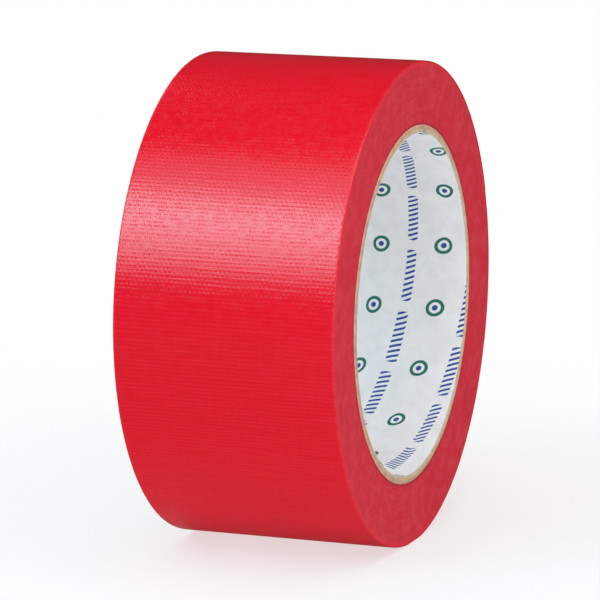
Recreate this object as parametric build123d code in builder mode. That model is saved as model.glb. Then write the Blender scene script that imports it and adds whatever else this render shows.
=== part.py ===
from build123d import *
from math import acos, cos, degrees, floor, pi, radians, sin, sqrt
import os

# A roll of cloth packing tape, 50 mm by 25 m, wound on a paper core with a 76.2 mm bore.
#
# The roll's axis is Y and the origin is the middle of the bore. Z is up, and the roll stands
# on its rim. Angles are in degrees, in the XZ plane, from +X towards +Z.
#
# The core is a printed liner and four kraft plies. Each ply is one paper strip wound round as
# a right-handed helix, whose edges meet at an open butt seam. The seams of the plies are
# turned from each other, so that no seam lies over the one below it.
#
# The tape is a laminate of film, cloth and adhesive. Its last turn is drawn as a true
# four-centre spiral that comes off the wound turns by one tape thickness, so the free edge
# stands one tape above the turn it lies on. The last stretch before the free edge can be
# peeled: it is cut into links, each hinged on the next along the film's outer face.

# ---- driving dimensions, in millimetres and degrees ----

TAPE_WIDTH = 50.0
TAPE_LENGTH = 25000.0
FILM = 0.05
CLOTH = 0.068
ADHESIVE = 0.05

BORE_RADIUS = 38.1
LINER = 0.12
PLY = 0.42
PLY_COUNT = 4
GLUE_LINE = 0.02

STRIP_WIDTH = 108.0       # width of the paper strip that a ply is wound from
SEAM_GAP = 0.3            # open width of a ply's butt seam, along the core's circumference
SEAM_STAGGER = 75.0       # turn from the seam of one ply to the seam of the next
SEAM_OVERRUN = 3.0        # how far the seam's cut runs out past each end of the core

FREE_EDGE_ANGLE = 20.0
LEAD_LENGTH = 40.0        # length of tape, back from the free edge, that can be peeled
LEAD_LINKS = 4
LEAD_LIFT = 0.04          # clearance under the loose lead end

REST_FLAT = 8.0           # width of the flat pressed on the rim where the roll stands

# ---- sizes worked out from them ----

TAPE = FILM + CLOTH + ADHESIVE
CORE_RADIUS = BORE_RADIUS + LINER + PLY_COUNT * (GLUE_LINE + PLY)
CORE_LENGTH = TAPE_WIDTH  # the core is cut flush with the tape
ROLL_RADIUS = sqrt(CORE_RADIUS**2 + TAPE_LENGTH * TAPE / pi)

QUARTER = 90.0
FULL_TURN = 4 * QUARTER
CENTRE_STEP = TAPE / 4    # side of the square that the spiral's four centres walk round
LEAD_ANGLE = degrees(LEAD_LENGTH / ROLL_RADIUS)
LINK_ANGLE = LEAD_ANGLE / LEAD_LINKS
REST_ANGLE = 270.0 - FREE_EDGE_ANGLE    # the lowest point of the rim, past the free edge

BORE_GIRTH = 2 * pi * BORE_RADIUS
SEAM_PITCH = STRIP_WIDTH * BORE_GIRTH / sqrt(BORE_GIRTH**2 - STRIP_WIDTH**2)

# Layers of the tape from the outside in: name, depth of the outer face, depth of the inner.
TAPE_LAYERS = [
    ("film", 0.0, FILM),
    ("cloth", FILM, FILM + CLOTH),
    ("adhesive", FILM + CLOTH, TAPE),
]


def direction(angle):
    """Unit vector at an angle past the free edge, in the plane of the roll's side."""
    turned = radians(FREE_EDGE_ANGLE + angle)
    return Vector(cos(turned), sin(turned))


def quarter_of(angle):
    """Centre and radius of the tape's outer face on the quarter turn that holds an angle."""
    number = floor(angle / QUARTER)
    corner = direction(number * QUARTER) - direction((number + 1) * QUARTER)
    return corner * (CENTRE_STEP / 2), ROLL_RADIUS - number * CENTRE_STEP


def spiral_point(angle, depth):
    """Point at a depth below the tape's outer face, at an angle past the free edge."""
    centre, radius = quarter_of(angle)
    return centre + direction(angle) * (radius - depth)


def spiral_line(start, end, depth):
    """Draw the tape's outer face, moved in by a depth: an arc for each quarter turn, and a
    level line across the contact flat."""
    rest_radius = quarter_of(REST_ANGLE)[1]
    drop = rest_radius - sqrt(rest_radius**2 - (REST_FLAT / 2) ** 2)
    half_flat = degrees(acos(1 - drop / (rest_radius - depth)))
    flat = (REST_ANGLE - half_flat, REST_ANGLE + half_flat)
    quarters = [number * QUARTER for number in range(floor(FULL_TURN / QUARTER))]
    stops = [start] + sorted(stop for stop in (*quarters, *flat) if start < stop < end) + [end]
    for near, far in zip(stops, stops[1:]):
        if near == flat[0]:
            Line(spiral_point(near, depth), spiral_point(far, depth))
        else:
            centre, radius = quarter_of(near)
            CenterArc(centre, radius - depth, FREE_EDGE_ANGLE + near, far - near)


def tape_strip(start, end, outer_depth, inner_depth):
    """One layer of the last turn, between two angles past the free edge."""
    with BuildPart() as strip:
        with BuildSketch(Plane.XZ):
            with BuildLine():
                spiral_line(start, end, outer_depth)
                Line(spiral_point(end, outer_depth), spiral_point(end, inner_depth))
                spiral_line(start, end, inner_depth)
                Line(spiral_point(start, inner_depth), spiral_point(start, outer_depth))
            make_face()
        extrude(amount=TAPE_WIDTH / 2, both=True)
    return strip.part


def core_ply(inner_radius):
    """A tube of one paper strip, open along the helix where the strip's edges meet."""
    middle_radius = inner_radius + PLY / 2
    seam_height = CORE_LENGTH + 2 * SEAM_OVERRUN
    seam_slope = SEAM_PITCH / sqrt(SEAM_PITCH**2 + (2 * pi * middle_radius) ** 2)
    with BuildPart() as ply:
        with BuildSketch(Plane.XZ):
            Circle(inner_radius + PLY)
            Circle(inner_radius, mode=Mode.SUBTRACT)
        extrude(amount=CORE_LENGTH / 2, both=True)
        with BuildLine() as seam:
            Helix(SEAM_PITCH, seam_height, middle_radius, (0, -seam_height / 2, 0), (0, 1, 0))
        seam_start = seam.line @ 0
        outward = Vector(seam_start.X, 0, seam_start.Z)
        with BuildSketch(Plane(seam_start, x_dir=outward, z_dir=seam.line % 0)):
            Rectangle(2 * PLY, SEAM_GAP * seam_slope)
        sweep(path=seam.line, is_frenet=True, mode=Mode.SUBTRACT)
    return ply.part


def save(part, name):
    """Label a finished piece and write it as the STEP file of that name."""
    part.label = name
    export_step(part, f"parts/{name}.step")


os.makedirs("parts", exist_ok=True)

# ---- the core: a printed liner round the bore, then the kraft plies ----

with BuildPart() as core_liner:
    with BuildSketch(Plane.XZ):
        Circle(BORE_RADIUS + LINER)
        Circle(BORE_RADIUS, mode=Mode.SUBTRACT)
    extrude(amount=CORE_LENGTH / 2, both=True)
save(core_liner.part, "core_liner")

for number in range(PLY_COUNT):
    ply = core_ply(BORE_RADIUS + LINER + GLUE_LINE + number * (PLY + GLUE_LINE))
    save(ply.rotate(Axis.Y, number * SEAM_STAGGER), f"core_ply_{number + 1}")

# ---- the wound turns, whose outside is the spiral that the last turn lies on ----

with BuildPart() as wound_tape:
    with BuildSketch(Plane.XZ):
        with BuildLine():
            spiral_line(0, FULL_TURN, TAPE)
            Line(spiral_point(FULL_TURN, TAPE), spiral_point(0, TAPE))
        make_face()
        Circle(CORE_RADIUS, mode=Mode.SUBTRACT)
    extrude(amount=TAPE_WIDTH / 2, both=True)
save(wound_tape.part, "wound_tape")

# ---- the last turn, stuck down, and the loose links of the lead end before it ----

for layer, outer_depth, inner_depth in TAPE_LAYERS:
    save(tape_strip(LEAD_ANGLE, FULL_TURN, outer_depth, inner_depth), f"outer_turn_{layer}")

for number in range(LEAD_LINKS):
    start = (LEAD_LINKS - 1 - number) * LINK_ANGLE
    for layer, outer_depth, inner_depth in TAPE_LAYERS:
        link = tape_strip(
            start, start + LINK_ANGLE, outer_depth - LEAD_LIFT, inner_depth - LEAD_LIFT
        )
        save(link, f"lead_end_{number + 1}_{layer}")
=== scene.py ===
"""Looks of a roll of red cloth tape on its paper core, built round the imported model.

Lengths are in metres. The roll's axis is Y and Z is up. An angle theta lies in the XZ plane,
from +X towards +Z. An angle phi is measured the same way round, from the tape's free edge.
"""

from __future__ import annotations

import logging
import math
from dataclasses import dataclass, replace
from enum import Enum, IntEnum
from typing import Iterable, Mapping, NamedTuple, Optional, Sequence, Union

import bmesh
import bpy
import numpy as np
from mathutils import Matrix, Vector


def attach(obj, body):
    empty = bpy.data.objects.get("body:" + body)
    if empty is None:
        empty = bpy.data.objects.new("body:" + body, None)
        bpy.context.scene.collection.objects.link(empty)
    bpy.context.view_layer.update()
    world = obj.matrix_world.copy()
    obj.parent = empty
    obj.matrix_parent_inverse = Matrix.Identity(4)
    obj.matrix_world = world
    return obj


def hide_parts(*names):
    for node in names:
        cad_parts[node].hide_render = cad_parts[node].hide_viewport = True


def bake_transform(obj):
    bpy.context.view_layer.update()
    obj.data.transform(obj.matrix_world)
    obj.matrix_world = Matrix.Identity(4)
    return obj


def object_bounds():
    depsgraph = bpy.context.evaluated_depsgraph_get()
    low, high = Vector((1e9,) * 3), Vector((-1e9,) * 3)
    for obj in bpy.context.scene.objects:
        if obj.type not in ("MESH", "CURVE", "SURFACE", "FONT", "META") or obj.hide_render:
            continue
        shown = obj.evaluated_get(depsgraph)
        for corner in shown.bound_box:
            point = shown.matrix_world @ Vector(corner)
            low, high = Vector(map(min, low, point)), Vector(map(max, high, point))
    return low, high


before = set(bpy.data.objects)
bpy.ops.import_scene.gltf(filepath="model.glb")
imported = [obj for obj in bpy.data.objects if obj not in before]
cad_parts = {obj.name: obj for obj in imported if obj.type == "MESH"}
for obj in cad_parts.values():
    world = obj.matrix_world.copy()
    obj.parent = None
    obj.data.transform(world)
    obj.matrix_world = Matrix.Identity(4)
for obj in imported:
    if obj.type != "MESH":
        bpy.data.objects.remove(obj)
CAD_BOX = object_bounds()

MM = 0.001
BORE_RADIUS = 38.1 * MM
UV_NAME = "tape"
MERGE_DISTANCE = 1e-8
SHARP_ANGLE = math.radians(40)
ROLL_AXIS = np.array([0.0, 1.0, 0.0])
LOG = logging.getLogger("tape_roll")

Array = np.ndarray
Range = tuple[float, float]
Colour = tuple[float, float, float, float]
Socket = bpy.types.NodeSocket
Input = Union[Socket, float, Sequence[float], None]


class Side(Enum):
    """A side face of the roll, by the sign of Y on it."""

    FRONT = -1
    BACK = 1


class Layer(IntEnum):
    """Material slots of a strip of tape, from the outside in."""

    FILM = 0
    CLOTH = 1
    ADHESIVE = 2


class Seed(IntEnum):
    """Seeds of the random draws. The core's pieces and the pack's sides count on from theirs."""

    WANDER = 5
    BEND = 11
    FADE = 12
    TEAR = 21
    PACK = 31
    RIM_THREADS = 41
    TORN_THREADS = 43
    CORE = 50


def srgb(red: int, green: int, blue: int) -> Colour:
    """Linear colour of an 8-bit one: each channel is ((c + 0.055) / 1.055) to the power 2.4.

    Args:
        red: Red from 0 to 255.
        green: Green from 0 to 255.
        blue: Blue from 0 to 255.

    Returns:
        Linear red, green and blue, and an alpha of 1.
    """
    channels = np.array([red, green, blue]) / 255
    linear = np.where(channels > 0.04045, ((channels + 0.055) / 1.055) ** 2.4, channels / 12.92)
    return (*(float(c) for c in linear), 1.0)


def smooth_step(value: Array) -> Array:
    """Cubic 3t^2 - 2t^3 of a value held between 0 and 1.

    Args:
        value: Any array.

    Returns:
        The eased values.
    """
    held = np.clip(value, 0, 1)
    return held * held * (3 - 2 * held)


def unit(vectors: Array) -> Array:
    """Vectors made one unit long."""
    return vectors / np.linalg.norm(vectors, axis=-1, keepdims=True)


def waves(x: Array, y: Array, lengths: Sequence[float], seed: int) -> Array:
    """Smooth uneven relief: the mean of sines of the given wavelengths, each in a direction
    and with a phase drawn from the seed.

    Args:
        x: First coordinate.
        y: Second coordinate, of the same shape or one that broadcasts to it.
        lengths: Wavelengths of the sines, in the coordinates' unit.
        seed: Seed of the random draws.

    Returns:
        Values between -1 and 1.
    """
    draw = np.random.default_rng(seed)
    total = 0.0
    for length in lengths:
        turn, phase = draw.uniform(0, math.tau, 2)
        total = total + np.sin(
            math.tau * (x * math.cos(turn) + y * math.sin(turn)) / length + phase
        )
    return total / len(lengths)


def half_waves(x: Array, y: Array, lengths: Sequence[float], seed: int) -> Array:
    """Waves as above, carried to values between 0 and 1."""
    return 0.5 + 0.5 * waves(x, y, lengths, seed)


# ---- meshes from grids of points ----


@dataclass
class Patch:
    """A grid of points that becomes quads, with a UV for each point."""

    points: Array
    uv: Array
    slot: int = 0

    def faces(self, first: int) -> Array:
        """Corners of the grid's quads, as point numbers.

        Args:
            first: Number of the grid's first point in the whole mesh.

        Returns:
            One row of four numbers for each quad.
        """
        rows, columns = self.points.shape[:2]
        number = first + np.arange(rows * columns).reshape(rows, columns)
        corners = [number[:-1, :-1], number[1:, :-1], number[1:, 1:], number[:-1, 1:]]
        return np.stack(corners, axis=-1).reshape(-1, 4)


def slab(
    outer: Array,
    inner: Array,
    uv: Array,
    layers: Sequence[tuple[float, int]] = ((1.0, 0),),
    plain_inner: bool = False,
) -> list[Patch]:
    """Closed sheet between two grids: both of them, and walls that join their borders in
    straight lines, divided into layers.

    Args:
        outer: Points of the outer face, as stations along by points across.
        inner: Points of the inner face, in the same shape.
        uv: Distance along and across for each point.
        layers: Share of the thickness and material slot of each layer, from the outside in.
        plain_inner: Whether the inner face is one quad wide.

    Returns:
        The patches.
    """
    across = [0, -1] if plain_inner else slice(None)
    patches = [
        Patch(outer, uv, layers[0][1]),
        Patch(inner[:, across], uv[:, across], layers[-1][1]),
    ]
    depths = np.cumsum([0.0] + [share for share, _ in layers])
    for pick, axis in ((np.s_[:, :1], 1), (np.s_[:, -1:], 1), (np.s_[:1], 0), (np.s_[-1:], 0)):
        for near, far, (_, slot) in zip(depths, depths[1:], layers):
            rims = [outer[pick] * (1 - d) + inner[pick] * d for d in (near, far)]
            patches.append(
                Patch(np.concatenate(rims, axis), np.concatenate([uv[pick]] * 2, axis), slot)
            )
    return patches


def build_piece(
    name: str, patches: Sequence[Patch], materials: Sequence[bpy.types.Material]
) -> bpy.types.Object:
    """Join patches into one mesh, closed where their borders meet, with its faces outward.

    Args:
        name: Name of the new object.
        patches: The grids, whose shared borders hold equal points.
        materials: Materials, in the order of the patches' slots.

    Returns:
        The new object, at the origin.
    """
    counts = [patch.points.shape[0] * patch.points.shape[1] for patch in patches]
    starts = np.cumsum([0] + counts)
    points = np.concatenate([patch.points.reshape(-1, 3) for patch in patches])
    uv = np.concatenate([patch.uv.reshape(-1, 2) for patch in patches])
    faces = [patch.faces(first) for patch, first in zip(patches, starts)]
    slots = np.concatenate([np.full(len(f), p.slot) for p, f in zip(patches, faces)])
    corners = np.concatenate(faces)

    mesh = bpy.data.meshes.new(name)
    mesh.from_pydata(points.tolist(), [], corners.tolist())
    layer = mesh.uv_layers.new(name=UV_NAME)
    layer.uv.foreach_set("vector", uv[corners.ravel()].astype(np.float32).ravel())
    mesh.polygons.foreach_set("material_index", slots.astype(np.int32))
    for material in materials:
        mesh.materials.append(material)

    joined = bmesh.new()
    joined.from_mesh(mesh)
    bmesh.ops.remove_doubles(joined, verts=joined.verts, dist=MERGE_DISTANCE)
    bmesh.ops.recalc_face_normals(joined, faces=joined.faces)
    joined.to_mesh(mesh)
    joined.free()
    mesh.shade_smooth()
    mesh.set_sharp_from_angle(angle=SHARP_ANGLE)
    piece = bpy.data.objects.new(name, mesh)
    bpy.context.scene.collection.objects.link(piece)
    return piece


# ---- shader graphs ----


class Ramp(NamedTuple):
    """A range of values and the range that it is carried to."""

    low: float
    high: float
    to_low: float = 0.0
    to_high: float = 1.0


class Octaves(NamedTuple):
    """Detail of a noise: how many finer octaves it has, and the share that each keeps."""

    count: Input = 2.0
    kept: float = 0.5


class Graph:
    """A node tree being drawn. Each method adds a node and returns what comes out of it."""

    def __init__(self, tree: bpy.types.NodeTree) -> None:
        """Keep the tree of a material, a world or a group, to add nodes to it."""
        self.tree = tree

    def node(
        self, kind: str, inputs: Mapping[Union[str, int], Input], **settings: object
    ) -> bpy.types.ShaderNode:
        """Add a node, set its options, and set or link its inputs.

        Args:
            kind: Blender's name of the node type.
            inputs: A value or a socket for each input, by name or number.
            settings: Options of the node, by attribute name.

        Returns:
            The node.
        """
        made = self.tree.nodes.new(kind)
        for option, value in settings.items():
            setattr(made, option, value)
        for key, value in inputs.items():
            if isinstance(value, Socket):
                self.tree.links.new(value, made.inputs[key])
            else:
                made.inputs[key].default_value = value
        return made

    def math(self, operation: str, a: Input, b: Input = 0.0, c: Input = 0.0) -> Socket:
        """Result of a Math node on up to three values."""
        return self.node("ShaderNodeMath", {0: a, 1: b, 2: c}, operation=operation).outputs[0]

    def plus(self, a: Input, b: Input) -> Socket:
        """Sum of two values."""
        return self.math("ADD", a, b)

    def minus(self, a: Input, b: Input) -> Socket:
        """First value less the second."""
        return self.math("SUBTRACT", a, b)

    def times(self, a: Input, b: Input) -> Socket:
        """Product of two values."""
        return self.math("MULTIPLY", a, b)

    def over(self, a: Input, b: Input) -> Socket:
        """First value over the second."""
        return self.math("DIVIDE", a, b)

    def times_plus(self, a: Input, b: Input, c: Input) -> Socket:
        """Product of the first two values, and the third added to it."""
        return self.math("MULTIPLY_ADD", a, b, c)

    def absolute(self, value: Input) -> Socket:
        """Value without its sign."""
        return self.math("ABSOLUTE", value)

    def length(self, a: Input, b: Input) -> Socket:
        """Length of a flat vector, the root of a squared plus b squared."""
        return self.math("SQRT", self.times_plus(a, a, self.times(b, b)))

    def remap(self, value: Input, ramp: Ramp) -> Socket:
        """A value carried smoothly from one range to another and held there."""
        inputs = dict(zip(("Value", "From Min", "From Max", "To Min", "To Max"), (value, *ramp)))
        return self.node("ShaderNodeMapRange", inputs, interpolation_type="SMOOTHSTEP").outputs[0]

    def within(self, distance: Input, reach: float, blur: Input) -> Socket:
        """Mask that is 1 where a distance is under a reach, and fades over a blur."""
        inside = self.over(self.minus(reach, distance), blur)
        return self.node("ShaderNodeClamp", {0: inside}).outputs[0]

    def mix(self, factor: Input, a: Input, b: Input) -> Socket:
        """Colour between two colours, by the share of the second one."""
        return self.node("ShaderNodeMix", {0: factor, 6: a, 7: b}, data_type="RGBA").outputs[2]

    def choose(self, mask: Socket, yes: Input, no: Input) -> Socket:
        """One value where a mask is 1, and the other where it is 0."""
        return self.node("ShaderNodeMix", {0: mask, 2: no, 3: yes}, data_type="FLOAT").outputs[0]

    def noise(self, vector: Input, scale: Input, octaves: Octaves = Octaves()) -> Socket:
        """Value of a Noise Texture, whose scale is in cells for each unit of the vector."""
        inputs = dict(zip(("Vector", "Scale", "Detail", "Roughness"), (vector, scale, *octaves)))
        return self.node("ShaderNodeTexNoise", inputs).outputs[0]

    def split(self, vector: Input) -> Sequence[Socket]:
        """The X, Y and Z of a vector."""
        return self.node("ShaderNodeSeparateXYZ", {0: vector}).outputs

    def join(self, x: Input, y: Input, z: Input = 0.0) -> Socket:
        """Vector of three parts."""
        return self.node("ShaderNodeCombineXYZ", {0: x, 1: y, 2: z}).outputs[0]

    def threads(self, distance: Input, pitch: Input) -> tuple[Socket, Socket]:
        """A raised cosine over each of a row of threads, from 0 to 1, and a cosine from -1 to
        1 whose period is two threads."""
        pair = self.math("COSINE", self.times(self.over(distance, pitch), math.pi))
        return self.times(pair, pair), pair

    def bump(self, height: Input, distance: float, strength: float) -> Socket:
        """Normal of a Bump node, whose distance is the real height of 1 in metres."""
        inputs = {"Height": height, "Distance": distance, "Strength": strength}
        return self.node("ShaderNodeBump", inputs).outputs[0]

    def place(
        self, group: bpy.types.NodeTree, inputs: Mapping[str, Input]
    ) -> list[tuple[str, Socket]]:
        """Put a node group into the tree, and name what comes out of it."""
        return self.node("ShaderNodeGroup", inputs, node_tree=group).outputs.items()

    def by_ray(self, clear: Input, gloss: Input, other: Input) -> Socket:
        """Value that depends on the ray.

        Args:
            clear: Value for the camera and through glass.
            gloss: Value in gloss.
            other: Value for the light it gives.

        Returns:
            The output socket.
        """
        path = self.node("ShaderNodeLightPath", {}).outputs
        seen = self.math("MAXIMUM", path["Is Camera Ray"], path["Is Transmission Ray"])
        return self.choose(seen, clear, self.choose(path["Is Glossy Ray"], gloss, other))


class GroupGraph(Graph):
    """A node group with named inputs and outputs."""

    def __init__(self, name: str, inputs: Mapping[str, float], outputs: Iterable[str]) -> None:
        """Make the group and its sockets: a vector, and values.

        Args:
            name: Name of the group.
            inputs: Default of each value that goes in, by name.
            outputs: Names of the values that come out.
        """
        super().__init__(bpy.data.node_groups.new(name, "ShaderNodeTree"))
        sockets = self.tree.interface
        sockets.new_socket("Vector", in_out="INPUT", socket_type="NodeSocketVector")
        for key, default in inputs.items():
            made = sockets.new_socket(key, in_out="INPUT", socket_type="NodeSocketFloat")
            made.default_value = default
        for key in outputs:
            sockets.new_socket(key, in_out="OUTPUT", socket_type="NodeSocketFloat")
        self.given = self.tree.nodes.new("NodeGroupInput").outputs
        self.result = self.tree.nodes.new("NodeGroupOutput").inputs

    def give(self, **outputs: Socket) -> bpy.types.NodeTree:
        """Link the group's outputs.

        Args:
            outputs: What goes to each output, by name.

        Returns:
            The finished group.
        """
        for key, value in outputs.items():
            self.tree.links.new(value, self.result[key])
        return self.tree


@dataclass(frozen=True)
class ClothWeave:
    """Plain weave under a film. A raised cosine follows each thread, higher or lower by noise
    that is drawn out along it. Where a weft and a warp thread cross, the one on top stands
    out: the product of a cosine along and one across, each with a period of two threads. The
    film sinks into the open cells between threads, by a power of how open they are. Noise
    bends the threads and wears them in places. A cloud is plain noise of its own scale, and
    across is the distance from the tape's middle."""

    weft_pitch: float = 0.9 * MM
    warp_pitch: float = 0.54 * MM
    waver: float = 0.4 * MM
    waver_scale: float = 120.0
    thread_scale: float = 75.0
    thread_octaves: Octaves = Octaves(2.0, 0.65)
    warp_noise_at: float = 9.0
    wear_scale: float = 520.0
    wear_octaves: Octaves = Octaves(3.0, 0.6)
    thinning: Ramp = Ramp(0.3, 0.7, 0.1, 1.0)
    standing_out: Ramp = Ramp(0.35, 0.7, 0.22, 0.54)
    weft_height: float = 0.23
    warp_height: float = 0.16
    wearing: Ramp = Ramp(0.3, 0.65, 0.6, 1.0)
    sinking: Ramp = Ramp(0.35, 0.6, -0.1, -0.62)
    sinking_power: float = 3.0
    weft_tone: float = 0.7
    warp_tone: float = 0.3
    cloud_scale: float = 140.0
    cloud_detail: float = 2.0

    def group(self) -> bpy.types.NodeTree:
        """Draw the group. Its vector is distance along and across the tape, in metres.

        Returns:
            The group.
        """
        inputs = {
            "Weft pitch": self.weft_pitch,
            "Warp pitch": self.warp_pitch,
            "Waver": self.waver,
            "Cloud scale": self.cloud_scale,
            "Cloud detail": self.cloud_detail,
        }
        g = GroupGraph("cloth_weave", inputs, ["Height", "Tone", "Worn", "Cloud", "Across"])
        place = g.given["Vector"]
        along, across, _ = g.split(place)
        shift = g.times(g.minus(g.noise(place, self.waver_scale), 0.5), g.given["Waver"])
        wefts_along, warps_across = g.plus(along, shift), g.minus(across, shift)
        weft, weft_pair = g.threads(wefts_along, g.given["Weft pitch"])
        warp, warp_pair = g.threads(warps_across, g.given["Warp pitch"])
        far_along, far_across = (g.times(way, self.thread_scale) for way in (along, across))
        at_weft = g.join(g.over(wefts_along, g.given["Weft pitch"]), far_across)
        at_warp = g.over(warps_across, g.given["Warp pitch"])
        at_warp = g.join(far_along, at_warp, self.warp_noise_at)
        thick_weft = g.noise(at_weft, 1.0, self.thread_octaves)
        thick_warp = g.noise(at_warp, 1.0, self.thread_octaves)
        open_cell = g.times(g.minus(1.0, weft), g.minus(1.0, warp))
        weft = g.times(weft, g.remap(thick_weft, self.thinning))
        warp = g.times(warp, g.remap(thick_warp, self.thinning))
        on_top = g.times_plus(g.times(weft_pair, warp_pair), 0.5, 0.5)
        height = g.times(on_top, g.remap(thick_weft, self.standing_out))
        height = g.times_plus(weft, self.weft_height, height)
        height = g.times_plus(warp, self.warp_height, height)
        worn = g.noise(place, self.wear_scale, self.wear_octaves)
        height = g.times(height, g.remap(worn, self.wearing))
        sunk = g.math("POWER", open_cell, self.sinking_power)
        height = g.plus(height, g.times(sunk, g.remap(worn, self.sinking)))
        tone = g.times_plus(warp, self.warp_tone, g.times(weft, self.weft_tone))
        cloud = g.noise(place, g.given["Cloud scale"], Octaves(g.given["Cloud detail"]))
        return g.give(
            Height=height, Tone=tone, Worn=worn, Cloud=cloud, Across=g.absolute(across)
        )


@dataclass(frozen=True)
class WoundRings:
    """Slit edges of wound turns: one ridge for each turn, as the radius over the pitch plus
    the share of a turn gone round, and a slower drift and flecks from turn to turn. The noise
    of both is drawn out round the roll: its cells are for each metre out and each radian."""

    pitch: float
    drift_cells: tuple[float, float] = (1400.0, 5.0)
    fleck_cells: tuple[float, float] = (5000.0, 60.0)
    drift_octaves: Octaves = Octaves(3.0, 0.65)

    def group(self) -> bpy.types.NodeTree:
        """Draw the group. Its vector is a place on the roll, in metres.

        Returns:
            The group.
        """
        g = GroupGraph("wound_rings", {"Pitch": self.pitch}, ["Ridge", "Drift", "Fleck", "Radius"])
        x, _, z = g.split(g.given["Vector"])
        radius = g.length(x, z)
        angle = g.math("ARCTAN2", z, x)
        turns = g.plus(g.over(radius, g.given["Pitch"]), g.over(angle, math.tau))
        ridge = g.times_plus(g.math("COSINE", g.times(turns, math.tau)), 0.5, 0.5)
        at_drift, at_fleck = (
            g.join(g.times(radius, out), g.times(angle, turned))
            for out, turned in (self.drift_cells, self.fleck_cells)
        )
        drift = g.noise(at_drift, 1.0, self.drift_octaves)
        return g.give(Ridge=ridge, Drift=drift, Fleck=g.noise(at_fleck, 1.0), Radius=radius)


@dataclass(frozen=True)
class FibreGrain:
    """Fibrous grain: broad mottle, fine speckle and sparse dark specks from noise of three
    scales, each a multiple of the group's scale."""

    scale: float = 1000.0
    mottle_scale: float = 0.25
    mottle_octaves: Octaves = Octaves(3.0, 0.6)
    fine_scale: float = 3.0
    fine_octaves: Octaves = Octaves(2.0, 0.6)
    speck_scale: float = 1.3
    speck: Ramp = Ramp(0.66, 0.74)

    def group(self) -> bpy.types.NodeTree:
        """Draw the group. Its vector is in metres.

        Returns:
            The group.
        """
        g = GroupGraph("grain", {"Scale": self.scale}, ["Mottle", "Fine", "Speck"])
        place, scale = g.given["Vector"], g.given["Scale"]
        mottle = g.noise(place, g.times(scale, self.mottle_scale), self.mottle_octaves)
        fine = g.noise(place, g.times(scale, self.fine_scale), self.fine_octaves)
        speck = g.noise(place, g.times(scale, self.speck_scale))
        return g.give(Mottle=mottle, Fine=fine, Speck=g.remap(speck, self.speck))


@dataclass(frozen=True)
class CorePrint:
    """Generic print in two kinds of column by turns: bars of slanted strokes, then rings with
    a dot. A bar is where the distance from a straight line is under half its width and the
    distance from the nearest stroke is under half a stroke. A ring is where the distance from
    its centre is within half a line of its radius. Each period round the core is moved a
    little along it, so that the columns lean. A whole number of periods goes round the bore,
    and the lean is a whole number of them too, so the print meets itself."""

    periods: int = 16
    periods_leaned: int = 2
    bar_at: float = 0.27
    bar_half: float = 5.0 * MM
    bar_width: float = 1.3 * MM
    stroke_pitch: float = 1.35 * MM
    stroke_half: float = 0.36 * MM
    slant: float = 0.45
    ring_at: float = 0.77
    ring_radius: float = 1.7 * MM
    ring_line: float = 0.42 * MM
    dot: float = 0.7 * MM
    blur: float = 0.1 * MM

    def group(self) -> bpy.types.NodeTree:
        """Draw the group. Its vector is distance round and along the core, in metres.

        Returns:
            The group.
        """
        girth = math.tau * BORE_RADIUS
        period = girth / self.periods
        lean, half = self.periods_leaned * period / girth, period / 2
        g = GroupGraph("core_print", {"Blur": self.blur}, ["Blue", "Teal"])
        around, along, _ = g.split(g.given["Vector"])
        blur = g.given["Blur"]
        leaned = g.times_plus(around, lean, along)
        number = g.math("FLOOR", g.over(leaned, period))
        column = g.minus(leaned, g.times(number, period))
        stepped = g.times_plus(number, half, around)
        bar_along, ring_along = (
            g.minus(g.math("FLOORED_MODULO", way, period), half) for way in (stepped, around)
        )
        from_bar = g.minus(column, period * self.bar_at)
        beyond = g.math("MAXIMUM", g.minus(g.absolute(bar_along), self.bar_half), 0.0)
        from_line = g.math("MAXIMUM", beyond, g.absolute(from_bar))
        slanted = g.times_plus(from_bar, self.slant, bar_along)
        stroke = g.math("FLOORED_MODULO", slanted, self.stroke_pitch)
        from_stroke = g.absolute(g.minus(stroke, self.stroke_pitch / 2))
        strokes = g.within(from_stroke, self.stroke_half, blur)
        bar = g.times(g.within(from_line, self.bar_width, blur), strokes)
        from_centre = g.length(ring_along, g.minus(column, period * self.ring_at))
        from_ring = g.absolute(g.minus(from_centre, self.ring_radius))
        blue = g.math("MAXIMUM", bar, g.within(from_centre, self.dot, blur))
        return g.give(Blue=blue, Teal=g.within(from_ring, self.ring_line, blur))


# ---- finishes ----


class Effect(Enum):
    """The shared effects."""

    WEAVE = "weave"
    RINGS = "rings"
    GRAIN = "grain"
    PRINT = "print"


class Shop:
    """The node groups that the finishes share, each made once."""

    def __init__(self, pitch: float) -> None:
        """Draw the group of every effect. The pitch is that of the wound turns."""
        effects = (ClothWeave(), WoundRings(pitch), FibreGrain(), CorePrint())
        self.groups = {key: effect.group() for key, effect in zip(Effect, effects)}


def start_material(
    name: str, **sockets: Input
) -> tuple[bpy.types.Material, Graph, Mapping[str, Socket]]:
    """New material with its Principled BSDF.

    Args:
        name: Name of the material.
        sockets: Constant inputs of the shader, with _ for each space of the name.

    Returns:
        The material, its graph and the shader's inputs.
    """
    material = bpy.data.materials.new(name)
    material.use_nodes = True
    shader = material.node_tree.nodes["Principled BSDF"].inputs
    for key, value in sockets.items():
        shader[key.replace("_", " ")].default_value = value
    return material, Graph(material.node_tree), shader


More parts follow.
